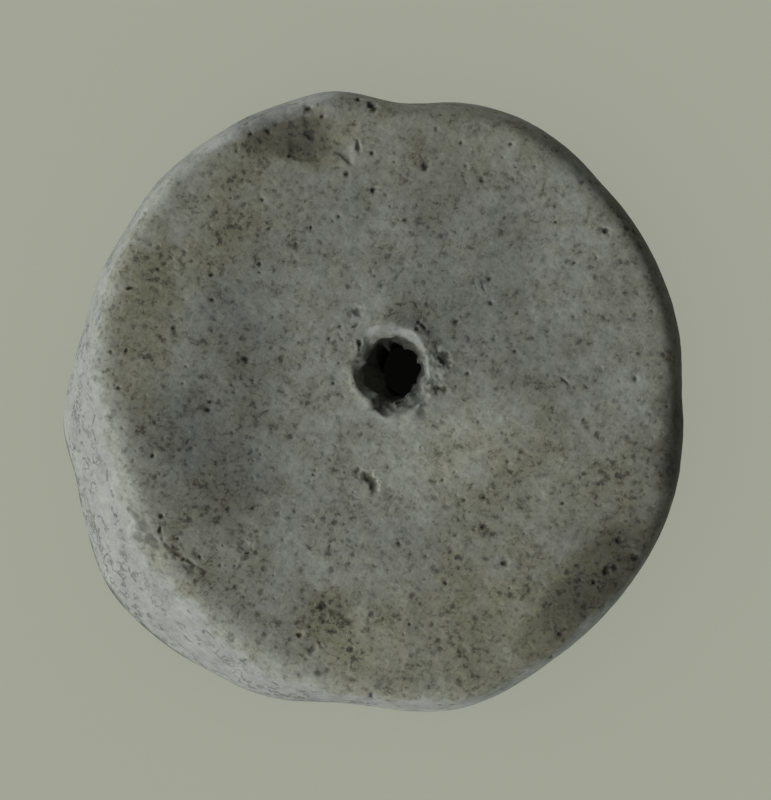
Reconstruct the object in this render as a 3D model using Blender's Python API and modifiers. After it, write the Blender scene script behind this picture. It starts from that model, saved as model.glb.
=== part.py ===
"""Perforated clay disc: a hand-modelled round of coarse, low-fired clay, pierced near its middle by a stick.

The disc is one solid. It starts as a turned blank around the hole, and is then pressed out of round, leaned
and dented, as hands do to soft clay. Units are metres and +Z is up. The disc lies on its underside, and the
origin is the middle of that side.
"""

import math

import bmesh
import bpy
from mathutils import Matrix, Vector

# Driving dimensions.
DISC_RADIUS = 0.0500
THICKNESS = 0.025
MOUTH_RADIUS = 0.0053  # of the hole, where it breaks the upper face
THROAT_RADIUS = 0.0041  # of the hole, inside the clay
EXIT_RADIUS = 0.0050  # of the hole, at the underside
HOLE_PLACE = Vector((0.0022, 0.0053))  # of the hole's mouth, from the disc's middle
HOLE_LEAN = Vector((0.0040, 0.0000))  # how far the slanting stick drifted on its way through

# The edge slumped on one side, where it is a broad slope. On the far side it is steep, with a tight rounding.
STEEP_EDGE = 0.0040  # width of the upper edge, seen from above, on the steep side
SLUMPED_EDGE = 0.0103
STEEP_POWER = 3.0  # of the edge's curve: 2 is a quarter of an ellipse, and 1 a straight chamfer
SLUMPED_POWER = 1.4
SLUMP_ANGLE = 211  # degrees
SLUMP_HALF_WIDTH = 45  # degrees
SLUMP_POWER = 3  # how suddenly the slump ends on either hand
SHOULDER_SPREAD = 2  # how much wider and shallower a press on the outline is at the shoulder
EDGE_HEIGHT = 0.011  # of the widest outline above the underside
LOWER_ROUNDING = 0.0050
BLANK_EDGE = 0.0062  # width of the blank's upper edge, before it is pressed
BLANK_POWER = 2

# The upper face.
FACE_DISH = 0.0011  # how much lower the middle lies than the shoulder of the edge
MOUND_RISE = 0.0007  # clay pushed up round the hole
MOUND_RADIUS = 0.0110
LIP_START = 0.0058  # radius where the lip leaves the mouth
LIP_RISE = 0.0009  # the raised lip itself
LIP_RADIUS = 0.0069
LIP_WIDTH = 0.0015
FUNNEL_DEPTH = 0.0035  # how quickly the mouth narrows to the throat
EXIT_DEPTH = 0.0018
BORE_END = 0.0012  # how near the bore's end rings come to either face

# The mesh of the turned blank.
SEGMENTS = 80
BORE_RINGS = 6
LIP_RINGS = 6
FACE_RINGS = 9
EDGE_RINGS = 8
LOWER_RINGS = 6
UNDERSIDE_RINGS = 3
EXIT_RINGS = 3
SEAM_GAP = 0.00001  # vertices nearer than this are joined where the turned blank closes

SHOULDER_RADIUS = DISC_RADIUS - BLANK_EDGE
FACE_START = 0.0105  # radius where the lip's rings end and the face's begin
REST_START = 0.0088  # the flat underside runs from here to the lower rounding
HOLLOW_FADE = 2  # how quickly a hollow in the face dies out down the edge

# Presses and swells round the outline: angle and half width in degrees, and change of radius.
OUTLINE_PRESSES = (
    (2, 7, -0.0010),  # dent beside the steep side
    (36, 17, 0.0006),
    (60, 13, 0.0013),  # swell beside the thumb press
    (85, 7, -0.0020),  # thumb press
    (99, 5, 0.0007),  # ridge that the thumb raised
    (114, 9, 0.0004),
    (145, 8, -0.0011),  # two presses of a palm side by side
    (165, 12, -0.0016),
    (184, 5, 0.0007),
    (192, 4, -0.0006),
    (215, 11, 0.0025),  # blunt corner where the clay slumped
    (231, 8, 0.0012),
    (248, 7, 0.0007),
    (265, 10, -0.0016),  # shallow press
    (288, 10, 0.0011),
    (335, 20, 0.0004),
)

# Shallow hollows in the upper face: place from the disc's middle, half length and half width, and depth.
FACE_HOLLOWS = (
    (-0.0120, 0.0420, 0.0075, 0.0042, 0.0011),  # flake scar beside the ridge
    (-0.0190, -0.0120, 0.0110, 0.0120, 0.0007),  # palm hollow
    (0.0235, 0.0255, 0.0090, 0.0120, 0.0005),
    (0.0400, -0.0270, 0.0100, 0.0110, 0.0016),  # worn-down shoulder
    (-0.0075, -0.0360, 0.0042, 0.0045, 0.0006),  # small scar
)

CLAY_COLOUR = (0.20, 0.21, 0.175, 1.0)
CLAY_ROUGHNESS = 0.92


def clear_scene():
    for old in list(bpy.data.objects):
        bpy.data.objects.remove(old, do_unlink=True)


def fired_clay():
    """Grey, dull clay."""
    material = bpy.data.materials.new("fired_clay")
    material.use_nodes = True
    shader = material.node_tree.nodes["Principled BSDF"]
    shader.inputs["Base Color"].default_value = CLAY_COLOUR
    shader.inputs["Roughness"].default_value = CLAY_ROUGHNESS
    shader.inputs["Metallic"].default_value = 0.0
    return material


def spread(start, end, count):
    """Evenly spaced values from start to end, leaving end out."""
    return [start + (end - start) * i / count for i in range(count)]


def face_height(radius):
    """Height of the upper face at this distance from the hole: a shallow dish, a mound and the lip."""
    dish = FACE_DISH * (1 - (radius / SHOULDER_RADIUS) ** 2)
    mound = MOUND_RISE * math.exp(-((radius / MOUND_RADIUS) ** 2))
    lip = LIP_RISE * math.exp(-(((radius - LIP_RADIUS) / LIP_WIDTH) ** 2))
    return THICKNESS - dish + mound + lip


def bore_radius(height):
    """Radius of the hole at this height: a funnel above, a throat, and a flare at the underside."""
    funnel = (MOUTH_RADIUS - THROAT_RADIUS) * math.exp((height - THICKNESS) / FUNNEL_DEPTH)
    flare = (EXIT_RADIUS - THROAT_RADIUS) * math.exp(-height / EXIT_DEPTH)
    return THROAT_RADIUS + funnel + flare


def profile():
    """The blank's closed section as (radius, height), over the face, down the side and back up the bore."""
    lip = [(r, face_height(r)) for r in spread(LIP_START, FACE_START, LIP_RINGS)]
    face = [(r, face_height(r)) for r in spread(FACE_START, SHOULDER_RADIUS, FACE_RINGS)]
    upper_edge = [
        (
            SHOULDER_RADIUS + BLANK_EDGE * math.sin(turn),
            EDGE_HEIGHT + (THICKNESS - EDGE_HEIGHT) * math.cos(turn),
        )
        for turn in spread(0, math.pi / 2, EDGE_RINGS)
    ]
    lower_edge = [
        (
            DISC_RADIUS - LOWER_ROUNDING * (1 - math.cos(turn)),
            EDGE_HEIGHT * (1 - math.sin(turn)),
        )
        for turn in spread(0, math.pi / 2, LOWER_RINGS)
    ]
    underside = [(r, 0.0) for r in spread(DISC_RADIUS - LOWER_ROUNDING, REST_START, UNDERSIDE_RINGS)]
    bore_foot = bore_radius(BORE_END)
    exit_edge = [
        (
            REST_START - (REST_START - bore_foot) * math.sin(turn),
            BORE_END * (1 - math.cos(turn)),
        )
        for turn in spread(0, math.pi / 2, EXIT_RINGS)
    ]
    bore = [(bore_radius(z), z) for z in spread(BORE_END, THICKNESS - BORE_END, BORE_RINGS)]
    mouth = [(bore_radius(THICKNESS - BORE_END), THICKNESS - BORE_END)]
    return lip + face + upper_edge + lower_edge + underside + exit_edge + bore + mouth


def turned_blank():
    """The profile turned about the hole's axis by a Screw modifier, as a mesh."""
    points = profile()
    section = bpy.data.meshes.new("section")
    edges = [(i, (i + 1) % len(points)) for i in range(len(points))]
    section.from_pydata([(r, 0.0, z) for r, z in points], edges, [])
    blank = bpy.data.objects.new("blank", section)
    bpy.context.scene.collection.objects.link(blank)
    turn = blank.modifiers.new("turn", "SCREW")
    turn.steps = turn.render_steps = SEGMENTS
    turn.use_merge_vertices = True
    turn.merge_threshold = SEAM_GAP
    bpy.context.view_layer.update()
    mesh = bpy.data.meshes.new_from_object(blank.evaluated_get(bpy.context.evaluated_depsgraph_get()))
    bpy.data.objects.remove(blank)
    return mesh


def bump(offset, width):
    """A smooth hump, 1 at no offset and nearly nothing beyond twice the width."""
    return math.exp(-((offset / width) ** 2))


def outline_radius(angle, spread_out=1):
    """Distance from the disc's middle to its widest outline, with every press and swell added.

    A press fades as it climbs the slope: spread_out makes it so many times wider and shallower.
    """
    radius = DISC_RADIUS
    for centre, width, change in OUTLINE_PRESSES:
        offset = (math.degrees(angle) - centre + 180) % 360 - 180
        radius += change / spread_out * bump(offset, width * spread_out)
    return radius


def slump(angle):
    """How far the edge has slumped on this side of the disc, from 0 to 1."""
    offset = abs((math.degrees(angle) - SLUMP_ANGLE + 180) % 360 - 180)
    return math.exp(-((offset / SLUMP_HALF_WIDTH) ** SLUMP_POWER))


def edge_width(angle):
    """Width of the upper edge on this side of the disc, seen from above."""
    return STEEP_EDGE + (SLUMPED_EDGE - STEEP_EDGE) * slump(angle)


def edge_curve(angle):
    """The power that turns the blank's quarter ellipse into the edge's curve on this side."""
    return BLANK_POWER / (STEEP_POWER + (SLUMPED_POWER - STEEP_POWER) * slump(angle))


def pressed_radius(radius, angle, curve):
    """The blank's radius after pressing: the bore stays as it is, and the shoulder and the outline move."""
    shoulder = outline_radius(angle, SHOULDER_SPREAD) - edge_width(angle)
    if radius > SHOULDER_RADIUS:
        outward = ((radius - SHOULDER_RADIUS) / BLANK_EDGE) ** curve
        return shoulder + (outline_radius(angle) - shoulder) * outward
    start = min(radius, FACE_START)
    outward = (radius - start) / (SHOULDER_RADIUS - FACE_START)
    return start + (shoulder - FACE_START) * outward


def hollow_depth(x, y):
    """How deep the hollows press the upper face at this place."""
    depth = 0.0
    for place_x, place_y, half_length, half_width, deepest in FACE_HOLLOWS:
        depth += deepest * bump(math.hypot((x - place_x) / half_length, (y - place_y) / half_width), 1)
    return depth


def pressed(point):
    """Where a point of the turned blank ends up in the finished disc."""
    radius = math.hypot(point.x, point.y)
    angle = math.atan2(point.y, point.x) % math.tau
    outward = max(0.0, radius - FACE_START) / (DISC_RADIUS - FACE_START)
    drift = HOLE_LEAN * (1 - point.z / THICKNESS)
    centre = (HOLE_PLACE + drift) * (1 - outward)
    upper = max(0.0, point.z - EDGE_HEIGHT) / (THICKNESS - EDGE_HEIGHT)
    height = point.z
    curve = 1
    if radius > SHOULDER_RADIUS and upper > 0:
        curve = edge_curve(angle)
        height = EDGE_HEIGHT + (THICKNESS - EDGE_HEIGHT) * upper**curve
    reach = pressed_radius(radius, angle, curve)
    x = centre.x + reach * math.cos(angle)
    y = centre.y + reach * math.sin(angle)
    return Vector((x, y, height - hollow_depth(x, y) * upper**HOLLOW_FADE))


def clay_disc(collection):
    mesh = turned_blank()
    mesh.name = "clay_disc"
    shape = bmesh.new()
    shape.from_mesh(mesh)
    for vertex in shape.verts:
        vertex.co = pressed(vertex.co)
    corners = [[function(v.co[axis] for v in shape.verts) for function in (min, max)] for axis in (0, 1)]
    middle = Vector((sum(corners[0]) / 2, sum(corners[1]) / 2, 0))
    bmesh.ops.transform(shape, matrix=Matrix.Translation(-middle), verts=shape.verts)
    bmesh.ops.recalc_face_normals(shape, faces=shape.faces)
    shape.to_mesh(mesh)
    shape.free()
    mesh.shade_smooth()
    mesh.materials.clear()
    mesh.materials.append(fired_clay())
    disc = bpy.data.objects.new("clay_disc", mesh)
    collection.objects.link(disc)
    return disc


clear_scene()
parts = bpy.data.collections.new("perforated_clay_disc")
bpy.context.scene.collection.children.link(parts)
clay_disc(parts)
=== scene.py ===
import math
import random

import bmesh
import bpy
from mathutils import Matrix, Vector, kdtree, noise


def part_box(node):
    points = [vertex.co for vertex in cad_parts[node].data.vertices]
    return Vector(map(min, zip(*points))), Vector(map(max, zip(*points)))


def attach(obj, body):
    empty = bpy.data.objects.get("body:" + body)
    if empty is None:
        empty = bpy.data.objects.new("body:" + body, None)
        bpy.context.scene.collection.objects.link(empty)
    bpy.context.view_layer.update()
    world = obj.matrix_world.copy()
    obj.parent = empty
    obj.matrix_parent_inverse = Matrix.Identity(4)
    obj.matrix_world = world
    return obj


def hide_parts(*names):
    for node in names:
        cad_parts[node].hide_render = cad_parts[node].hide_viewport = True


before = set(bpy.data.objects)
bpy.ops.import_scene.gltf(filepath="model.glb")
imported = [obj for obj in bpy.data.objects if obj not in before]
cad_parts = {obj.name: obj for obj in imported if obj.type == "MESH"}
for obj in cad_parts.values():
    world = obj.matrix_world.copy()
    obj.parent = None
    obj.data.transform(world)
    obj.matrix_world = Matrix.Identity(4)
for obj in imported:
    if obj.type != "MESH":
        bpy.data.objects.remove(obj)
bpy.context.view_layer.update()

# The lump.
# A ball of coarse clay, patted into a thick round between the palms. It is one solid with a rounded edge,
# which slumped on one side. It starts as a merged copy of the modelled disc, and is split finer for grit.
MM = 0.001
disc_low, disc_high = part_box("clay_disc")
disc_middle = (disc_low + disc_high) / 2
edge_height = disc_low.z + 11 * MM  # of the widest outline
mouth = disc_middle.xy + Vector((2.7, 5.1)) * MM  # middle of the hole in the upper face
COARSE = 1.5 * MM  # longest edge of the mesh where nothing is carved
BORE_EDGE = 0.5 * MM
MOUTH_EDGE = 0.28 * MM
FACE_EDGE = 0.62 * MM
ROUNDS_OF_SMOOTHING = 8


def split(shape, longest):
    """Halves edges until none is longer than longest() allows at its middle."""
    while True:
        coarse = [
            edge
            for edge in shape.edges
            if edge.calc_length() > longest((edge.verts[0].co + edge.verts[1].co) / 2)
        ]
        if not coarse:
            break
        bmesh.ops.subdivide_edges(shape, edges=coarse, cuts=1, use_grid_fill=True)
    bmesh.ops.triangulate(shape, faces=[face for face in shape.faces if len(face.verts) > 4])


def smooth(shape, vertices):
    """Moves each vertex half way to the middle of its neighbours."""
    bmesh.ops.smooth_vert(
        shape, verts=vertices, factor=0.5, use_axis_x=True, use_axis_y=True, use_axis_z=True
    )


def push(shape, height):
    """Moves each vertex out along its normal by what height() gives for its place and normal."""
    shape.normal_update()
    moves = [vertex.normal * height(vertex.co, vertex.normal) for vertex in shape.verts]
    for vertex, move in zip(shape.verts, moves):
        vertex.co += move


def lump_edge(place):
    """Longest edge allowed: fine on the face and at the mouth, coarser down the side and in the bore."""
    from_hole = (place.xy - mouth).length
    if place.z < edge_height - 2 * MM or (from_hole < 9 * MM and place.z < disc_high.z - 13 * MM):
        return COARSE
    if from_hole < 9 * MM and place.z < disc_high.z - 6 * MM:
        return BORE_EDGE
    if from_hole < 8.5 * MM:
        return MOUTH_EDGE
    return FACE_EDGE


def hand_marks(place, normal):
    """Shallow swells left by palms and fingers, over a finer unevenness from the grit."""
    swell = 0.26 * noise.noise(place / (13 * MM))
    dent = 0.10 * noise.noise(place / (5.5 * MM) + Vector((7, 0, 0)))
    grit = 0.045 * noise.noise(place / (1.7 * MM) + Vector((0, 5, 0)))
    return (swell + dent + grit) * MM


clay = bmesh.new()
clay.from_mesh(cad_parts["clay_disc"].data)
bmesh.ops.remove_doubles(clay, verts=clay.verts, dist=0.02 * MM)
bmesh.ops.join_triangles(
    clay,
    faces=clay.faces,
    angle_face_threshold=math.radians(40),
    angle_shape_threshold=math.radians(60),
)
mesh = bpy.data.meshes.new("fired_clay_disc")
clay.to_mesh(mesh)
disc = bpy.data.objects.new("fired_clay_disc", mesh)
bpy.context.scene.collection.objects.link(disc)
rounding = disc.modifiers.new("rounding", "SUBSURF")
rounding.levels = rounding.render_levels = 1
bpy.context.view_layer.update()
clay.clear()
clay.from_object(disc, bpy.context.evaluated_depsgraph_get())
disc.modifiers.remove(rounding)
split(clay, lump_edge)
for _ in range(ROUNDS_OF_SMOOTHING):
    smooth(clay, clay.verts)
push(clay, hand_marks)

# The hole.
# A stick was pushed through at a slant while the clay was soft. It raised a ragged lip, highest towards the
# upper right, and clay crumbled from the lower right of the mouth and lodged on the wall inside.
HOLE_LEAN = 4.0 / 25  # how far the hole drifts to the right, for each millimetre of depth
MODELLED_LIP = (6.9, 1.5, 0.9)  # radius, width and rise of the even lip that the modelled disc has
MODELLED_MOUTH = 5.3  # radius
LIP_FOOT = 9.5  # how far out from the hole's middle the lip starts to die away
LIP_REACH = 12  # how far out it ends
LIP_DEPTH = 6  # how far down the wall it ends
WALL_REACH = 7
# Direction in degrees, and in millimetres the radius of the mouth, the radius of the lip's crest, its rise,
# and how far its inner side drops to the mouth.
LIP = (
    (0, 5.8, 6.3, 0.35, 0.7),
    (30, 5.7, 6.8, 0.70, 1.6),
    (60, 5.4, 7.1, 0.95, 2.0),
    (95, 5.1, 6.8, 0.75, 1.6),
    (130, 4.8, 5.8, 0.30, 0.9),
    (165, 4.5, 5.3, 0.30, 0.8),
    (200, 5.2, 5.7, 0.60, 0.4),
    (240, 4.8, 5.6, 0.80, 0.5),
    (270, 4.7, 6.8, 0.65, 0.6),
    (300, 5.2, 7.6, 0.45, 0.6),
    (330, 5.6, 7.2, 0.30, 0.7),
)
# Lumps on the wall: direction and half width in degrees, depth, half the height, and how far they stand in.
LUMPS = (
    (190, 60, 9.5, 5.5, 1.6),
    (228, 40, 7.5, 4.0, 0.9),
    (108, 16, 6.5, 3.0, 1.5),
    (60, 32, 4.2, 2.6, 0.7),
    (19, 12, 3.0, 1.3, 0.9),
    (-30, 35, 7.0, 4.0, 0.8),
    (163, 12, 1.4, 1.0, 0.6),
)
SHELF_MIDDLE = math.radians(-72)  # direction of the crumbled shelf
SHELF_HALF = math.radians(50)
SHELF_END = 6.9  # its distance from the hole's middle
CORD = disc_middle.xy + Vector((4.9, 5.1)) * MM  # middle of the straight way a cord has through the hole
CORD_HALF = 2.2 * MM  # half the side of that way, which is square


def fade(value, start, end):
    """1 at start, 0 at end and beyond, and a smooth change between them."""
    t = min(1.0, max(0.0, (value - end) / (start - end)))
    return t * t * (3 - 2 * t)


def from_mouth(place):
    """Distance in millimetres and direction of a place from the hole's middle."""
    across = place.xy - mouth
    return across.length / MM, math.atan2(across.y, across.x)


def turned_from(angle, direction):
    """How far a direction is turned from another, either way round."""
    return abs((angle - direction + math.pi) % math.tau - math.pi)


def crumbs(place, size):
    """Height of loose crumbs of this size, roughly from -1 to 1."""
    return noise.noise(place / (size * MM)) + 0.6 * noise.noise(place / (0.45 * size * MM))


def lip_at(angle):
    """The row of LIP for this direction, blended from the rows on either hand."""
    turn = math.degrees(angle) % 360
    for row, following in zip(LIP, LIP[1:] + ((360, *LIP[0][1:]),)):
        if turn <= following[0]:
            share = fade(turn, following[0], row[0])
            return [a + (b - a) * share for a, b in zip(row[1:], following[1:])]


def lip_height(reach, angle, place):
    """Height of the lip above the face, in millimetres."""
    edge, crest, rise, drop = lip_at(angle)
    crest += 0.3 * noise.noise(place / (2.6 * MM))
    rise += 0.45 * noise.noise(place / (2.9 * MM) + Vector((3, 3, 3)))
    if reach > crest:
        return rise * math.exp(-(((reach - crest) / 1.5) ** 2))
    return rise - drop * min(1.0, (crest - reach) / (crest - edge)) ** 1.1


def shelf_at(angle):
    """1 where the shelf has crumbled, and 0 away from it."""
    return fade(turned_from(angle, SHELF_MIDDLE), SHELF_HALF * 0.6, SHELF_HALF)


# The even lip gives way to the ragged one, the shelf sinks, and the face breaks up to the right of the hole.
for vertex in clay.verts:
    place = vertex.co
    reach, angle = from_mouth(place)
    depth = (disc_high.z - place.z) / MM
    if reach > LIP_REACH or depth > LIP_DEPTH:
        continue
    radius, width, rise = MODELLED_LIP
    even_lip = rise * math.exp(-(((reach - radius) / width) ** 2))
    shelf = shelf_at(angle)
    shelf *= fade(reach, SHELF_END - 0.5, SHELF_END + 0.4 + 0.8 * noise.noise(place / (1.5 * MM)))
    broken = fade(turned_from(angle, math.radians(-10)), 0.6, 1.0) * fade(abs(reach - 7.2), 1.0, 2.2)
    lifted = lip_height(max(reach, MODELLED_MOUTH - 0.4), angle, place) - even_lip
    lifted *= fade(reach, LIP_FOOT, LIP_REACH)
    lifted -= shelf * (1.15 - 0.75 * crumbs(place, 1.7)) + broken * (0.1 - 0.34 * crumbs(place, 1.5))
    place.z += lifted * MM * fade(depth, 1.5, LIP_DEPTH)

# The wall is grooved by the stick, rough and lumpy, and stays clear of the way that a cord has.
for vertex in clay.verts:
    place = vertex.co
    reach, angle = from_mouth(place)
    depth = (disc_high.z - place.z) / MM
    if depth < 0.8 or reach > LIP_REACH:
        continue
    across = place.xy - mouth - Vector((HOLE_LEAN * depth * MM, 0))
    reach, angle = across.length / MM, math.atan2(across.y, across.x)
    if reach > WALL_REACH:
        continue
    stick = noise.noise(Vector((3.2 * math.cos(angle), 3.2 * math.sin(angle), depth / 14)))
    rough = 0.8 * noise.noise(place / (1.1 * MM)) + 1.3 * noise.noise(place / (2.4 * MM))
    moved = 0.2 * stick + 0.32 * rough + (lip_at(angle)[0] - MODELLED_MOUTH) * fade(depth, 2, 5)
    for direction, half_width, middle, half_height, inward in LUMPS:
        near = turned_from(angle, math.radians(direction)) / math.radians(half_width)
        far = math.hypot(near, (depth - middle) / half_height) + 0.2 * noise.noise(place / (1.8 * MM))
        moved -= inward * fade(far, 0.1, 1.0)
    moved += shelf_at(angle) * fade(depth, 2, 5) * (0.4 + 0.7 * crumbs(place, 1.5))
    place.xy += across.normalized() * moved * MM * fade(depth, 1.6, 0.8)
    from_cord = place.xy - CORD
    clearance = max(abs(from_cord.x), abs(from_cord.y))
    if clearance < CORD_HALF:
        place.xy = CORD + from_cord * (CORD_HALF / clearance)

# The marks.
# Scars and pits in the skin: a flake lost beside the thumb press, a gouge, a rough patch where something
# stuck, a torn crack near the slumped edge, and pits where grit or chaff fell or burned out.
# Grime is dirt and painted shade, which darken the clay; bare is wear and painted light, which pale it.
GRIME_AND_SHADE = clay.verts.layers.float.new("grime_and_shade")
BARE_AND_PAINTED_LIGHT = clay.verts.layers.float.new("bare_and_painted_light")
MARK_EDGE = 0.24 * MM  # longest edge of the mesh in a mark
MARK_REACH = 2.2 * MM  # how far from its middle a mark can be felt
SHOULDER = disc_low.z + 12 * MM  # the marks are made above this height

# Place on the face, half length, half width, heading in degrees, depth, and how dark the inside is painted,
# with dirt and painted shade. Lengths are in millimetres, and a depth below 0 is a ridge or a lump.
HOLLOWS = (
    (-0.80, -11.7, 1.20, 1.00, -40, 0.55, 0.55),  # head of the gouge
    (-0.30, -12.3, 1.20, 0.85, -52, 0.60, 0.65),
    (0.20, -13.0, 1.40, 0.66, -64, 0.60, 0.65),  # its tail
    (0.15, -10.6, 1.10, 0.50, -22, -0.24, 0.0),  # clay thrown up beside it
    (1.30, -12.1, 1.50, 0.55, -72, -0.24, 0.0),
    (-20.1, -23.1, 1.40, 1.35, 0, 0.28, 0.0),
    (-19.8, -24.0, 0.90, 0.30, 15, 0.30, 0.6),
    (-34.4, -22.0, 1.30, 0.50, -60, 0.25, 0.5),
    (-36.3, -20.3, 0.90, 0.60, 20, 0.25, 0.5),
    (-2.4, 14.3, 0.85, 0.70, -20, 0.35, 0.6),
    (-2.6, 12.2, 1.05, 0.28, 38, 0.40, 0.7),
    (-1.9, 9.2, 0.50, 0.75, 0, 0.60, 0.8),
    (8.2, 12.0, 1.10, 0.35, -48, 0.45, 0.8),
    (-38.3, 18.1, 0.75, 0.28, 2, 0.50, 1.0),
    (-0.1, 47.2, 0.80, 0.60, -30, 0.80, 0.9),
    (-2.2, 48.1, 0.40, 0.35, 0, 0.40, 0.8),
    (-33.7, -20.2, 0.85, 0.34, 84, 0.45, 0.9),  # torn crack by the slumped edge
    (-33.4, -21.7, 0.80, 0.26, -75, 0.20, 0.7),
    (-32.6, -22.9, 1.10, 0.44, -45, 0.20, 0.7),
    (-31.0, -24.1, 1.20, 0.50, -28, 0.22, 0.7),
    (-29.0, -25.4, 1.40, 0.46, -34, 0.22, 0.7),
    (-27.0, -26.6, 1.00, 0.26, -30, 0.15, 0.6),
    (-37.2, -21.4, 1.30, 0.90, -40, 0.30, 0.6),
    (-2.3, 40.8, 0.40, 0.95, 6, 0.40, 0.7),
    (37.2, -26.9, 0.55, 1.00, -10, 0.40, 0.8),
    (30.7, 3.3, 1.10, 0.30, -42, 0.25, 0.5),
    (17.8, 17.9, 1.10, 0.14, -67, 0.16, 0.5),
    (11.5, 6.5, 1.40, 1.10, 70, 0.45, 1.0),
    (9.2, 3.3, 0.62, 0.62, 0, 0.20, 0.95),
    (-9.9, 42.2, 1.20, 0.60, -40, 0.25, 0.5),  # pitting in the scar of the flake
    (-10.2, 46.8, 1.00, 0.50, -35, 0.20, 0.5),
    (-4.4, -32.5, 1.90, 0.40, -22, -0.20, 0.0),  # ridge at the edge of the rough patch
    (-7.2, -32.2, 1.30, 0.35, 8, -0.10, 0.0),
    (-8.0, -32.6, 0.80, 0.50, 0, 0.15, 0.6),  # crusts of dirt in it and below it
    (-6.3, -33.3, 0.90, 0.60, -30, 0.15, 0.45),
    (-7.8, -34.4, 1.00, 0.60, 30, 0.15, 0.45),
    (-4.0, -34.7, 0.90, 0.60, -20, 0.15, 0.45),
    (-6.4, -36.4, 1.20, 0.70, 10, 0.15, 0.4),
    (-9.4, -39.3, 1.20, 0.80, 60, 0.25, 0.7),
    (-8.6, -43.1, 1.00, 0.70, -20, 0.20, 0.7),
    (-2.9, -44.1, 1.20, 0.50, -10, 0.12, 0.4),
    (-37.6, -18.2, 1.20, 0.60, -50, 0.15, 0.7),  # brown clumps by the crack
    (-36.5, -19.8, 1.50, 1.20, -60, 0.15, 0.8),
    (-35.6, -21.6, 1.40, 1.00, 30, 0.15, 0.8),
    (-34.4, -23.0, 1.10, 0.80, -30, 0.15, 0.7),
    (-31.5, -23.3, 1.00, 0.60, -30, 0.15, 0.6),
    (-29.4, -26.3, 1.40, 0.70, -40, 0.15, 0.6),
)

# Pits that stand out: place on the face and radius in millimetres.
PITS = (
    (-25.6, 20.2, 0.40), (-25.5, 16.3, 0.36), (-9.7, 27.8, 0.36), (0.1, 33.8, 0.60), (-0.1, 39.6, 0.36),
    (-4.1, 36.2, 0.34), (-16.4, 27.5, 0.32), (-17.4, 32.1, 0.36), (-13.1, 26.5, 0.30), (-5.3, 29.5, 0.36),
    (8.5, 37.3, 0.60), (14.1, 41.2, 0.36), (5.2, 28.9, 0.40), (-12.1, 25.2, 0.32), (17.4, 35.2, 0.30),
    (22.1, 41.0, 0.40), (29.2, 28.6, 0.34), (37.1, 27.2, 0.62), (18.6, 19.5, 0.38), (18.9, 15.6, 0.38),
    (13.3, 12.8, 0.40), (22.7, 8.1, 0.34), (15.2, 4.6, 0.36), (41.8, 3.8, 0.52), (32.1, 22.1, 0.34),
    (-40.3, 2.2, 0.50), (-20.1, 6.8, 0.55), (-26.1, -1.3, 0.52), (-25.8, 0.0, 0.36), (-41.6, 8.0, 0.40),
    (-39.1, 8.2, 0.36), (-34.1, 21.1, 0.36), (-31.6, 11.8, 0.44), (-34.9, -8.6, 0.48),
    (-17.9, 22.0, 0.36), (-33.5, -18.2, 0.62), (14.7, -15.6, 0.34), (17.7, -15.2, 0.38),
    (17.6, -19.8, 0.44), (20.9, -25.6, 0.60), (39.1, -22.1, 0.55), (42.0, -24.8, 0.40),
    (35.3, -28.7, 0.46), (29.7, -36.9, 0.46), (28.7, -40.7, 0.34), (4.2, -22.4, 0.36), (6.0, -35.3, 0.44),
    (-11.5, -37.1, 0.58), (-8.1, -32.5, 0.38), (-8.5, -43.0, 0.44), (-0.2, -46.6, 0.46),
    (-30.0, -25.0, 0.46), (-27.4, -24.6, 0.42), (-30.9, -21.7, 0.32), (-10.1, 46.7, 0.56),
    (-8.0, 45.4, 0.40), (-13.2, 39.1, 0.40), (-16.6, 43.0, 0.46), (-19.3, 42.6, 0.44), (11.4, 2.2, 0.46),
    (7.1, 11.6, 0.34), (-5.1, 12.0, 0.40), (-6.9, 10.1, 0.30), (-5.3, 6.2, 0.30), (-6.2, 3.0, 0.36),
    (7.4, 12.7, 0.40), (11.7, -28.8, 0.40), (30.3, -16.1, 0.34), (38.6, -26.4, 0.40),
)
PIT_DEPTH = 0.6  # share of its radius
SMALL_PIT_DEPTH = 0.5
# The pits are painted dark, with dirt and painted shade.
PIT_DARKNESS = 0.95
# Lower edge of the lost flake, scalloped, and how deep the scar is.
FLAKE_EDGE = (
    (-13.5, 39.6), (-12.4, 38.5), (-10.4, 38.2), (-8.3, 38.3), (-7.0, 39.1), (-6.2, 39.5), (-5.1, 39.1),
    (-3.9, 37.9), (-2.6, 37.2),
)
FLAKE_DEPTH = 0.32
FLAKE_REACH = 12 * MM  # how far the scar goes from the middle of its edge
# Small pits strewn over the face by chance.
STREWN = 300
STREWN_REACH = 47  # how far out from the disc's middle
STREWN_FROM_HOLE = 8  # how near to the hole's middle


def on_face(x, y):
    """A place on the upper face, in millimetres from the disc's middle."""
    return Vector((disc_middle.x + x * MM, disc_middle.y + y * MM, disc_high.z))


draw = random.Random(11)
marks = [(on_face(x, y), *row) for x, y, *row in HOLLOWS]
marks += [(on_face(x, y), radius, radius, 0, radius * PIT_DEPTH, PIT_DARKNESS) for x, y, radius in PITS]
for _ in range(STREWN):
    turn = draw.uniform(0, math.tau)
    out = STREWN_REACH * math.sqrt(draw.random())
    radius = draw.uniform(0.16, 0.30)
    place = on_face(out * math.cos(turn), out * math.sin(turn))
    if (place.xy - mouth).length > STREWN_FROM_HOLE * MM:
        length = radius * draw.uniform(0.8, 1.6)
        heading = draw.uniform(0, 180)
        marks.append((place, length, radius, heading, radius * SMALL_PIT_DEPTH, draw.uniform(0.15, 0.8)))

lookup = kdtree.KDTree(len(marks))
for i, mark in enumerate(marks):
    lookup.insert(mark[0].xy.to_3d(), i)
lookup.balance()
flake_edge = [on_face(x, y).xy for x, y in FLAKE_EDGE]
flake_middle = flake_edge[len(flake_edge) // 2]


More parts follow.
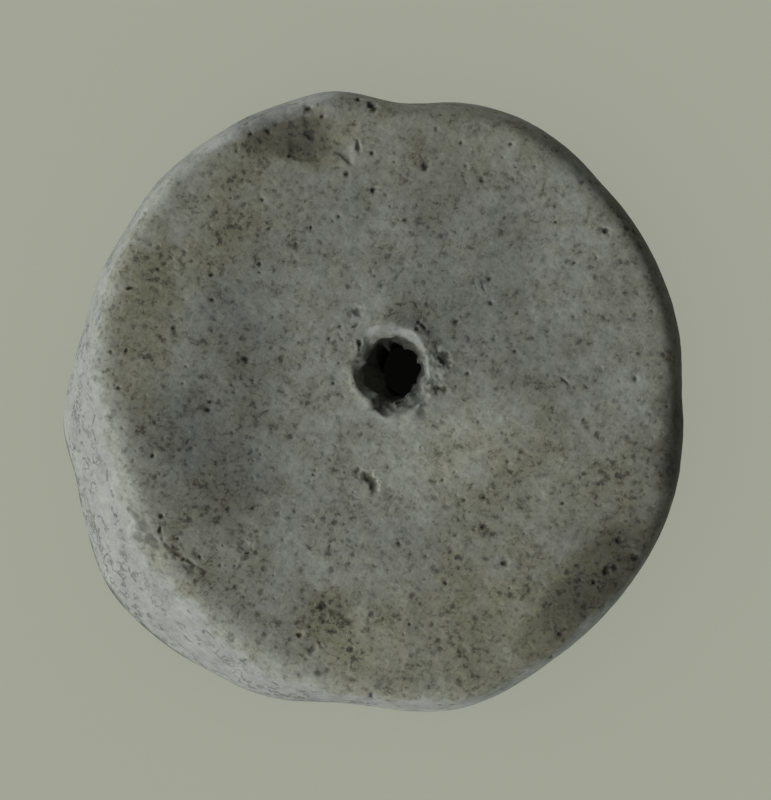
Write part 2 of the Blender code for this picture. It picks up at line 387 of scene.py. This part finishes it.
def from_line(place, line):
    """Distance from a place to a line of points, seen from above."""
    nearest = 1.0
    for start, end in zip(line, line[1:]):
        along = min(1.0, max(0.0, (place - start).dot(end - start) / (end - start).length_squared))
        nearest = min(nearest, (place - start.lerp(end, along)).length)
    return nearest


def mark_edge(place):
    """Longest edge allowed near a mark."""
    if place.z < SHOULDER:
        return COARSE
    _, i, gap = lookup.find(place.xy.to_3d())
    if gap < (max(marks[i][1], marks[i][2]) + 0.15) * MM:
        return MARK_EDGE
    if (place.xy - flake_middle).length < 7 * MM and from_line(place.xy, flake_edge) < 0.5 * MM:
        return MARK_EDGE
    return COARSE


def flake_depth(place):
    """The skin above the scalloped edge is gone, and the scar dies out towards the disc's edge."""
    for start, end in zip(flake_edge, flake_edge[1:]):
        if start.x <= place.x < end.x:
            line = start.y + (end.y - start.y) * (place.x - start.x) / (end.x - start.x)
            above = (place.y - line) / MM
            ends = fade(place.x, end.x, flake_edge[0].x) if place.x < flake_edge[1].x else 1.0
            ends *= fade(place.x, flake_edge[-2].x, flake_edge[-1].x)
            return FLAKE_DEPTH * ends * fade(above, 0.3, -0.1) * fade(above, 0.5, 6)
    return 0.0


def sector(angle, middle, full, none):
    """1 at full degrees from a direction, 0 at none degrees from it."""
    return fade(turned_from(angle, math.radians(middle)), math.radians(full), math.radians(none))


def worn_and_lit_edge(place):
    """How bare the clay is where its dark skin wore off the edge, partly wear and partly painted light,
    and how dark the painted shade is just below the widest outline.

    The skin is gone all along the steep edge, and on the slumped side also from the shoulder above it.
    On two stretches, towards the upper left and the lower right, the paleness reaches further up and is
    stronger, as painted light. Heights and distances are in millimetres.
    """
    from_middle = place.xy - disc_middle.xy
    angle = math.atan2(from_middle.y, from_middle.x)
    wander = 1.3 * noise.noise(place / (7 * MM)) + 1.2 * noise.noise(place / (2.2 * MM))
    wander += 0.6 * noise.noise(place / (1.0 * MM))
    height = (place.z - disc_low.z) / MM
    slumped = sector(angle, 205, 85, 110)
    # Painted light: towards the upper left and the lower right the steep edge is paler, and pale further up.
    steep = sector(angle, 210, 105, 125) * (1 + 1.6 * sector(angle, 205, 85, 60) * fade(height, 19, 15))
    painted_light_stretches = 1.6 * sector(angle, 307, 9, 19) + 4.0 * sector(angle, 111, 9, 20)
    worn_and_lit = steep * fade(height + wander - painted_light_stretches, 19, 22.5)
    worn_and_lit *= fade(from_middle.length / MM + 0.7 * wander, 47.8, 46.2) if painted_light_stretches else 1.0
    worn_and_lit = max(worn_and_lit, slumped * fade(height + wander, 22.6, 24.4))
    worn_and_lit *= fade(from_middle.length / MM, 38.5, 36.5)
    # Painted shade: under the pale edge, below the widest outline, the clay is darkened.
    sag = 6 * max(0.0, noise.noise(place / (7 * MM)))
    below = fade(height + 0.5 * wander + sag, 11.4, 13.5)
    return worn_and_lit * (1 - below), 0.5 * min(worn_and_lit, 1.0) * below * fade(height, 10, 4)


split(clay, mark_edge)
clay.normal_update()
moves = []
for vertex in clay.verts:
    place = vertex.co
    sunk = 0.0
    dirt_and_shade = 0.0
    if vertex.normal.z > 0.15 and place.z > SHOULDER:
        for _, i, _ in lookup.find_range(place.xy.to_3d(), MARK_REACH):
            centre, length, width, heading, depth, darkness = marks[i]
            across = (place.xy - centre.xy) / MM
            turn = math.radians(heading)
            along = across.x * math.cos(turn) + across.y * math.sin(turn)
            side = across.y * math.cos(turn) - across.x * math.sin(turn)
            ragged = 1 + 0.5 * noise.noise(place / (0.6 * MM)) + 0.6 * noise.noise(place / (1.5 * MM))
            far = math.hypot(along / length, side / width) * ragged
            inside = fade(far, 0.2, 1.2)
            sunk = max(sunk, depth * inside) if depth > 0 else sunk + depth * inside
            # Dirt and painted shade darken the inside of the mark.
            dirt_and_shade = max(dirt_and_shade, darkness * fade(far, 0.3, 1.2))
        if (place.xy - flake_middle).length < FLAKE_REACH:
            sunk += flake_depth(place.xy)
    reach, angle = from_mouth(place)
    # Painted shade in the hole: the upper right wall below 1.2 mm, the whole bore below 2 mm, and the shelf.
    if reach < 9:
        painted_shade_on_wall = sector(angle, 35, 65, 95)
        depth = (disc_high.z - place.z) / MM
        dirt_and_shade = max(dirt_and_shade, 0.7 * painted_shade_on_wall * fade(depth, 2.4, 1.2), 0.2 * fade(depth, 5.0, 2.0))
        dirt_and_shade = max(dirt_and_shade, 0.45 * shelf_at(angle) * fade(reach, SHELF_END, SHELF_END + 1.0))
    bare_and_painted_light, soot_and_shade = worn_and_lit_edge(place)
    vertex[GRIME_AND_SHADE] = max(dirt_and_shade, soot_and_shade)
    # Painted highlight: the lip's inner slope above the mouth, which faces the lamps, is paled like bare
    # clay.
    painted_lip_highlight = sector(angle, 80, 33, 55)
    painted_lip_highlight *= fade(abs(reach - 6.5) + 0.7 * noise.noise(place / (1.2 * MM)), 0.4, 1.4)
    vertex[BARE_AND_PAINTED_LIGHT] = max(bare_and_painted_light, 0.85 * painted_lip_highlight)
    moves.append(-vertex.normal * sunk * MM)
for vertex, move in zip(clay.verts, moves):
    vertex.co += move
    vertex.co.z = max(vertex.co.z, disc_low.z)

# Crumbs that came to fold over each other are eased apart.
SHARPEST_FOLD = math.radians(85)
ROUNDS_OF_EASING = 4
bmesh.ops.triangulate(clay, faces=clay.faces)
for _ in range(ROUNDS_OF_EASING):
    folded = [
        vertex
        for vertex in clay.verts
        if any(edge.calc_face_angle(0.0) > SHARPEST_FOLD for edge in vertex.link_edges)
    ]
    smooth(clay, folded)
clay.to_mesh(mesh)
clay.free()
mesh.shade_smooth()
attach(disc, "root")
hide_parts("clay_disc")

# The clay itself.
# Low-fired clay with grit and chaff in it, fired in smoke: dull, grey to olive, and speckled. It scatters
# light like dry earth, so it has no gloss, and its colour changes in soft clouds from one side to the other.


def linear(hex_colour):
    """An sRGB hex colour as linear values."""
    channels = [int(hex_colour[i : i + 2], 16) / 255 for i in (1, 3, 5)]
    return [c / 12.92 if c <= 0.04045 else ((c + 0.055) / 1.055) ** 2.4 for c in channels] + [1.0]


low_fired_clay = bpy.data.materials.new("low_fired_clay")
low_fired_clay.use_nodes = True
tree = low_fired_clay.node_tree
shader = tree.nodes["Principled BSDF"]


def add(kind, inputs, output=0, **settings):
    """Adds a node with its settings, sets or links its inputs, and gives one of its outputs."""
    node = tree.nodes.new(kind)
    for name, value in settings.items():
        setattr(node, name, value)
    for name, value in inputs.items():
        if isinstance(value, bpy.types.NodeSocket):
            tree.links.new(value, node.inputs[name])
        else:
            node.inputs[name].default_value = value
    return node.outputs[output]


# Patterns are laid out in millimetres. Some have their places shifted: a little, so that specks come out
# crooked, or more, so that the edges of stains wander.
PER_MM = 1 / MM
WANDER = 6
in_metres = add("ShaderNodeTexCoord", {}, "Object")
place = add("ShaderNodeMapping", {"Vector": in_metres, "Scale": (PER_MM, PER_MM, PER_MM)})
warp = add("ShaderNodeTexNoise", {"Vector": place, "Scale": 1 / 0.8, "Detail": 1.0}, "Color")
crooked = add("ShaderNodeVectorMath", {0: warp, 1: (0.55, 0.55, 0.55), 2: place}, operation="MULTIPLY_ADD")
drift = add("ShaderNodeTexNoise", {"Vector": place, "Scale": 1 / 4, "Detail": 2.0}, "Color")
wandering = add(
    "ShaderNodeVectorMath", {0: drift, 1: (WANDER, WANDER, 2), 2: place}, operation="MULTIPLY_ADD"
)

# Tone and speckle multiply the colour, and relief is the height in mm of what is too fine for the mesh.
# Olive is the share of brown-green dirt in the colour, and flecks says how dense the dark flecks are.
tone = 1.0
speckle = 1.0
relief = 0.0
olive = 0.0
flecks = 1.0

# Stains, and one band of painted shade on the right edge: place on the face, half length and half width,
# heading in degrees, change of tone, share of olive, and how much denser the flecks are there.
STAINS_AND_SHADE = (
    (-14, 43.2, 8, 4.5, -12, -0.62, 1.3, 0.8),
    (-23, 30, 14, 7, 50, 0.0, 0.6, 0.3),
    (-21, 8, 7, 24, 0, -0.27, 0.1, 0.3),
    (-36.5, 13, 5, 14, -5, -0.12, 0.9, 0.4),
    (-27, -22, 9, 10, 0, 0.0, 0.3, 0.2),
    (-31, -4, 6, 7, 0, -0.34, 0.1, 0.4),
    (-24, -14, 6, 7, 0, -0.20, 0.0, 0.3),
    (-10, -9, 9, 7, 0, -0.10, 0.1, 0.0),
    (-25, -29, 8, 4, -45, -0.15, 0.2, 0.6),
    (8, 13, 5, 10, -10, -0.12, 0.0, 0.3),
    (10, 34, 6, 10, 0, -0.16, 0.0, 0.0),
    (-4, 33, 5, 9, 0, -0.14, 0.0, 0.0),
    (21, 22, 5, 10, 0, -0.14, 0.0, 0.0),
    (14, 15, 4, 7, 0, -0.12, 0.0, 0.0),
    (28, 4, 9, 8, 0, -0.12, 0.0, 0.0),
    (42, -16, 5, 10, -8, -0.20, 0.3, 0.3),
    # Painted shade: a dark band along the right edge, where it turns away from the lamps.
    (47.5, -6, 2.5, 10, 0, -0.5, 0.3, 0.0),
    (34, -29, 4.5, 13, -42, -0.52, 0.9, 0.6),
    (10, -8, 13, 7, 20, 0.38, 0.0, -0.2),
    (-3, -39, 8, 5, 0, 0.18, 0.0, 0.0),
    (-7, -25, 6, 5, 0, 0.14, 0.0, 0.0),
    (8, 42, 22, 8, 0, -0.03, 0.4, 0.0),
    (42, 20, 7, 20, 20, 0.0, 0.2, 0.0),
    (24, -16, 15, 18, 0, 0.0, 0.45, 0.2),
    (13, -38, 28, 11, 0, 0.0, 0.6, 0.2),
    (-7, -34.5, 3.5, 4, 0, -0.26, 0.8, 1.6),
)
STAIN_AND_SHADE_SPREAD = 1.5  # a stain fades out this much further out than its half length and half width
STAIN_AND_SHADE_DEPTH = 14
for x, y, length, width, heading, change, share, denser in STAINS_AND_SHADE:
    spot = on_face(x + WANDER / 2, y + WANDER / 2) * PER_MM
    around = add(
        "ShaderNodeMapping",
        {
            "Vector": wandering,
            "Location": spot,
            "Rotation": (0, 0, math.radians(heading)),
            "Scale": (length * STAIN_AND_SHADE_SPREAD, width * STAIN_AND_SHADE_SPREAD, STAIN_AND_SHADE_DEPTH),
        },
        vector_type="TEXTURE",
    )
    stain_and_shade = add("ShaderNodeTexGradient", {"Vector": around}, "Fac", gradient_type="SPHERICAL")
    soft = add("ShaderNodeMapRange", {"Value": stain_and_shade, "From Max": 0.7}, interpolation_type="SMOOTHSTEP")
    if change:
        tone = add("ShaderNodeMath", {0: soft, 1: change, 2: tone}, operation="MULTIPLY_ADD")
    if share:
        olive = add("ShaderNodeMath", {0: soft, 1: share, 2: olive}, operation="MULTIPLY_ADD")
    if denser:
        flecks = add("ShaderNodeMath", {0: soft, 1: denser, 2: flecks}, operation="MULTIPLY_ADD")

# Clouds: size in mm, change of tone, and how much their dark parts lose or gain flecks and olive dirt.
for size, change, dirtier, browner in ((26, 0.12, 0.0, 0.0), (9, 0.22, -1.2, -0.7), (4.2, 0.36, -2.2, -1.2)):
    cloud = add("ShaderNodeTexNoise", {"Vector": place, "Scale": 1 / size, "Detail": 1.0, "Roughness": 0.5})
    centred = add("ShaderNodeMath", {0: cloud, 1: 0.5}, operation="SUBTRACT")
    tone = add("ShaderNodeMath", {0: centred, 1: change, 2: tone}, operation="MULTIPLY_ADD")
    flecks = add("ShaderNodeMath", {0: centred, 1: dirtier, 2: flecks}, operation="MULTIPLY_ADD")
    olive = add("ShaderNodeMath", {0: centred, 1: browner, 2: olive}, operation="MULTIPLY_ADD")

# Where the skin has worn off, raggedly, and where the edge is painted paler as painted light, there are few
# flecks. This share of bare clay and painted light goes above 1 where the clay is palest, and its skinless
# copy stops at 1.
bare_and_painted_light = add("ShaderNodeAttribute", {}, "Fac", attribute_name="bare_and_painted_light")
torn = add("ShaderNodeTexNoise", {"Vector": place, "Scale": 1 / 1.6, "Detail": 3.0, "Roughness": 0.65})
torn = add("ShaderNodeMath", {0: torn, 1: 1.6, 2: bare_and_painted_light}, operation="MULTIPLY_ADD")
torn = add("ShaderNodeMapRange", {0: torn, 1: 1.0, 2: 1.35}, interpolation_type="SMOOTHSTEP")
bare_and_painted_light = add("ShaderNodeMath", {0: bare_and_painted_light, 1: torn}, operation="MULTIPLY")
skinless_and_painted_light = add("ShaderNodeMath", {0: bare_and_painted_light, 1: 1.0}, operation="MINIMUM")
flecks = add("ShaderNodeMath", {0: skinless_and_painted_light, 1: -0.7, 2: flecks}, operation="MULTIPLY_ADD")
flecks = add("ShaderNodeMath", {0: flecks, 1: 0.2}, operation="MAXIMUM")

# Mottling, grit and chaff: length, width, heading in degrees, change of tone, and height in mm. The finest
# real grit, under 0.2 mm, is too fine to show and is drawn at 0.4.
for length, width, heading, change, height in (
    (1.7, 1.5, 15, 0.66, 0.06),
    (0.45, 0.4, 0, 0.44, 0.02),
    (3.0, 0.6, -42, 0.48, 0.0),
    (2.4, 0.5, 70, 0.40, 0.0),
):
    turned = add(
        "ShaderNodeMapping",
        {
            "Vector": place,
            "Location": (heading, 0, 0),
            "Rotation": (0, 0, math.radians(heading)),
            "Scale": (length, width, width),
        },
        vector_type="TEXTURE",
    )
    grain = add("ShaderNodeTexNoise", {"Vector": turned, "Scale": 1.0, "Detail": 2.0, "Roughness": 0.6})
    centred = add("ShaderNodeMath", {0: grain, 1: 0.5}, operation="SUBTRACT")
    speckle = add("ShaderNodeMath", {0: centred, 1: change, 2: speckle}, operation="MULTIPLY_ADD")
    if height:
        relief = add("ShaderNodeMath", {0: centred, 1: height, 2: relief}, operation="MULTIPLY_ADD")

# Soot: ragged flecks, with their size in mm, change of tone and share of olive.
for size, change, share in ((1.5, -0.50, 0.5), (0.9, -0.46, 0.3)):
    soot_and_shade = add(
        "ShaderNodeTexNoise",
        {"Vector": place, "Scale": 1 / size, "Detail": 3.0, "Roughness": 0.7, "Distortion": 0.3},
    )
    mark = add("ShaderNodeMapRange", {"Value": soot_and_shade, "From Min": 0.54, "From Max": 0.75})
    mark = add("ShaderNodeMath", {0: mark, 1: flecks}, operation="MULTIPLY")
    speckle = add("ShaderNodeMath", {0: mark, 1: change, 2: speckle}, operation="MULTIPLY_ADD")
    olive = add("ShaderNodeMath", {0: mark, 1: share, 2: olive}, operation="MULTIPLY_ADD")

# Specks and pores: spacing and size in mm, the share that show, change of tone and height in mm.
for spacing, size, share, change, height in (
    (1.3, 0.52, 0.5, -0.27, -0.02),
    (1.9, 0.72, 0.45, -0.34, -0.03),
    (3.1, 0.70, 0.5, -0.48, -0.06),
    (2.3, 0.45, 0.4, 0.18, 0.02),
):
    cells = add("ShaderNodeTexVoronoi", {"Vector": crooked, "Scale": 1 / spacing})
    picked = add("ShaderNodeMath", {0: cells.node.outputs["Color"], 1: share}, operation="LESS_THAN")
    speck = add(
        "ShaderNodeMapRange",
        {"Value": cells, "From Min": size / spacing, "From Max": size / spacing * 0.2},
        interpolation_type="SMOOTHSTEP",
    )
    shown = add("ShaderNodeMath", {0: speck, 1: picked}, operation="MULTIPLY")
    relief = add("ShaderNodeMath", {0: shown, 1: height, 2: relief}, operation="MULTIPLY_ADD")
    shown = add("ShaderNodeMath", {0: shown, 1: flecks}, operation="MULTIPLY")
    speckle = add("ShaderNodeMath", {0: shown, 1: change, 2: speckle}, operation="MULTIPLY_ADD")
speckle = add("ShaderNodeMath", {0: speckle, 1: 0.3}, operation="MAXIMUM")

# Painted shade: the skin is darker low down on the edge, and darker again under the widest outline. Heights
# in mm where that starts and ends, and change of tone.
above_table = add("ShaderNodeSeparateXYZ", {0: wandering}, "Z")
for top, bottom, change in ((25.0, 22.5, -0.20), (15.0, 8.0, -0.25)):
    low = add("ShaderNodeMapRange", {0: above_table, 1: top, 2: bottom}, interpolation_type="SMOOTHSTEP")
    tone = add("ShaderNodeMath", {0: low, 1: change, 2: tone}, operation="MULTIPLY_ADD")

# The worn edge shows burst blisters, as rings: spacing and radius in mm, and the share that show.
crumpled = add("ShaderNodeVectorMath", {0: warp, 1: (1.2, 1.2, 1.2), 2: place}, operation="MULTIPLY_ADD")
blisters = 0.0
for spacing, radius, share in ((3.2, 1.05, 0.55), (1.8, 0.50, 0.6)):
    cells = add("ShaderNodeTexVoronoi", {"Vector": crumpled, "Scale": 1 / spacing})
    picked = add("ShaderNodeMath", {0: cells.node.outputs["Color"], 1: share}, operation="LESS_THAN")
    off_ring = add("ShaderNodeMath", {0: cells, 1: radius / spacing}, operation="SUBTRACT")
    off_ring = add("ShaderNodeMath", {0: off_ring}, operation="ABSOLUTE")
    ring = add(
        "ShaderNodeMapRange",
        {0: off_ring, 1: 0.17 / spacing, 2: 0.04 / spacing},
        interpolation_type="SMOOTHSTEP",
    )
    blisters = add("ShaderNodeMath", {0: ring, 1: picked, 2: blisters}, operation="MULTIPLY_ADD")

# Between them are the walls of broken cells, in patches. Rings and walls come in clusters, and both stop
# short of the face.
CELL_SIZE = 2.2
CLUSTER_SIZE = 6
walls = add(
    "ShaderNodeTexVoronoi",
    {"Vector": crumpled, "Scale": 1 / CELL_SIZE},
    "Distance",
    feature="DISTANCE_TO_EDGE",
)
walls = add("ShaderNodeMapRange", {0: walls, 1: 0.11, 2: 0.02}, interpolation_type="SMOOTHSTEP")
patchy = add("ShaderNodeTexNoise", {"Vector": place, "Scale": 1 / 1.6, "Detail": 1.0})
patchy = add("ShaderNodeMapRange", {0: patchy, 1: 0.50, 2: 0.60}, interpolation_type="SMOOTHSTEP")
walls = add("ShaderNodeMath", {0: walls, 1: patchy}, operation="MULTIPLY")
blisters = add("ShaderNodeMath", {0: blisters, 1: walls}, operation="MAXIMUM")
cluster = add("ShaderNodeTexNoise", {"Vector": place, "Scale": 1 / CLUSTER_SIZE, "Detail": 1.0})
cluster = add("ShaderNodeMapRange", {0: cluster, 1: 0.38, 2: 0.52}, interpolation_type="SMOOTHSTEP")
outer = add("ShaderNodeMapRange", {0: above_table, 1: 24.5, 2: 20.5}, interpolation_type="SMOOTHSTEP")
blisters = add("ShaderNodeMath", {0: blisters, 1: cluster}, operation="MULTIPLY")
blisters = add("ShaderNodeMath", {0: blisters, 1: outer}, operation="MULTIPLY")

# Fine cracks wander round the edge. The marks darken the bare clay, and the speckle in it is calmer.
waves = add(
    "ShaderNodeTexWave",
    {"Vector": place, "Scale": 0.09, "Distortion": 6.0, "Detail": 3.0, "Detail Scale": 1.2},
    "Fac",
    bands_direction="Z",
)
cracks = add("ShaderNodeMapRange", {0: waves, 1: 0.965, 2: 0.995}, interpolation_type="SMOOTHSTEP")
cracks = add("ShaderNodeMath", {0: cracks, 1: patchy}, operation="MULTIPLY")
marked = add("ShaderNodeMath", {0: blisters, 1: cracks}, operation="MAXIMUM")
marked = add("ShaderNodeMath", {0: marked, 1: skinless_and_painted_light}, operation="MULTIPLY")
# The bare clay is paler, partly from wear and partly as painted light on the edge that faces the lamps.
tone = add("ShaderNodeMath", {0: bare_and_painted_light, 1: 0.22, 2: tone}, operation="MULTIPLY_ADD")
tone = add("ShaderNodeMath", {0: marked, 1: -0.5, 2: tone}, operation="MULTIPLY_ADD")
calm = add("ShaderNodeMath", {0: skinless_and_painted_light, 1: 0.35}, operation="MULTIPLY")
speckle = add("ShaderNodeMix", {0: calm, 2: speckle, 3: 1.0})

# All of it together: dirt and painted shade in the hollows, the bore and under the widest outline, then the
# colour of the skin or of the bare clay, which is partly painted light.
grime_and_shade = add("ShaderNodeAttribute", {}, "Fac", attribute_name="grime_and_shade")
tone = add("ShaderNodeMath", {0: grime_and_shade, 1: -0.72, 2: tone}, operation="MULTIPLY_ADD")
tone = add("ShaderNodeMath", {0: tone, 1: 0.12}, operation="MAXIMUM")
tone = add("ShaderNodeMath", {0: tone, 1: speckle}, operation="MULTIPLY")
olive = add("ShaderNodeMath", {0: grime_and_shade, 1: 0.4, 2: olive}, operation="MULTIPLY_ADD", use_clamp=True)
colour = add(
    "ShaderNodeMix", {0: olive, 6: linear("#5A5C56"), 7: linear("#585849")}, 2, data_type="RGBA"
)
colour = add("ShaderNodeMix", {0: skinless_and_painted_light, 6: colour, 7: linear("#5C5E5A")}, 2, data_type="RGBA")
colour = add("ShaderNodeVectorMath", {0: colour, "Scale": tone}, operation="SCALE")
tree.links.new(colour, shader.inputs["Base Color"])
normal = add("ShaderNodeBump", {"Height": relief, "Strength": 1.0, "Distance": MM})
tree.links.new(normal, shader.inputs["Normal"])
shader.inputs["Roughness"].default_value = 0.9
shader.inputs["Specular IOR Level"].default_value = 0.35
mesh.materials.append(low_fired_clay)

# The table.
# A sheet of pale matt card, and on it under the hole a small square of black paper, painted shade that
# stands in for the shadow inside the hole, so that the hole looks dark right through. Both are without any
# gloss.
# Name, colour, half the side in metres, and place below the disc: each lies on the one before.
SHEETS = (("pale_card", "#B2B5A7", 3.0, -0.1 * MM), ("painted_shade_paper", "#0B0B0A", 0.012, -0.05 * MM))
sheets = []
for name, hex_colour, half, lift in SHEETS:
    card = bpy.data.materials.new(name)
    card.use_nodes = True
    card_shader = card.node_tree.nodes["Principled BSDF"]
    card_shader.inputs["Base Color"].default_value = linear(hex_colour)
    card_shader.inputs["Roughness"].default_value = 1.0
    card_shader.inputs["Specular IOR Level"].default_value = 0.0
    card_mesh = bpy.data.meshes.new(name)
    sheet = bmesh.new()
    bmesh.ops.create_grid(sheet, x_segments=1, y_segments=1, size=half)
    bmesh.ops.translate(sheet, verts=sheet.verts, vec=(mouth.x, mouth.y, disc_low.z + lift))
    sheet.to_mesh(card_mesh)
    sheet.free()
    card_mesh.materials.append(card)
    sheets.append(bpy.data.objects.new(name, card_mesh))
    bpy.context.scene.collection.objects.link(sheets[-1])

# The light.
# One broad lamp low on the left rakes across the clay, with a weaker one behind and a faint one in front.
# An even light from above fills the table, and a dim white room fills the shadows.
world = bpy.data.worlds.new("studio")
world.use_nodes = True
world.node_tree.nodes["Background"].inputs["Color"].default_value = linear("#FFFFF4")
world.node_tree.nodes["Background"].inputs["Strength"].default_value = 0.20
bpy.context.scene.world = world

LAMP_DISTANCE = 1.6


def lamp_towards(name, kind, azimuth, elevation, *only):
    """A lamp aimed at the disc that lights these objects only."""
    lamp = bpy.data.objects.new(name, bpy.data.lights.new(name, kind))
    bpy.context.scene.collection.objects.link(lamp)
    flat = math.cos(elevation)
    away = Vector((math.cos(azimuth) * flat, math.sin(azimuth) * flat, math.sin(elevation)))
    lamp.location = disc_middle + away * LAMP_DISTANCE
    lamp.rotation_euler = (-away).to_track_quat("-Z", "Y").to_euler()
    lit = bpy.data.collections.new(name + "_lights")
    for thing in only:
        lit.objects.link(thing)
    lamp.light_linking.receiver_collection = lit
    lamp.light_linking.blocker_collection = lit
    return lamp


# Name, azimuth and elevation in degrees, width in metres and power in watts.
for name, azimuth, elevation, size, energy in (
    ("key", 213, 27, 1.6, 64),
    ("window", 137, 9, 1.2, 32),
    ("reflector", 275, 8, 1.2, 12),
):
    lamp = lamp_towards(name, "AREA", math.radians(azimuth), math.radians(elevation), disc)
    lamp.data.shape = "DISK"
    lamp.data.size = size
    lamp.data.energy = energy

overhead = lamp_towards("overhead", "SUN", 0, math.radians(90), *sheets)
overhead.data.angle = math.radians(60)
overhead.data.energy = 1.95

# The camera.
# It looks straight down on the disc from 1.2 m, a little to the right of its middle. Its lens takes in a
# height of 128.64 mm at the level of the disc's widest outline.
camera_height = 1.2
camera = bpy.data.objects.new("camera", bpy.data.cameras.new("camera"))
bpy.context.scene.collection.objects.link(camera)
camera.location = disc_middle.xy.to_3d() + Vector((2.1 * MM, 0.3 * MM, camera_height))
camera.data.sensor_width = 36
frame_height = 128.64 * MM
camera.data.lens = camera.data.sensor_width * (camera_height - edge_height) / frame_height
camera.data.clip_start = 0.1
camera.data.clip_end = 10
bpy.context.scene.camera = camera
bpy.context.scene.view_settings.view_transform = "Standard"
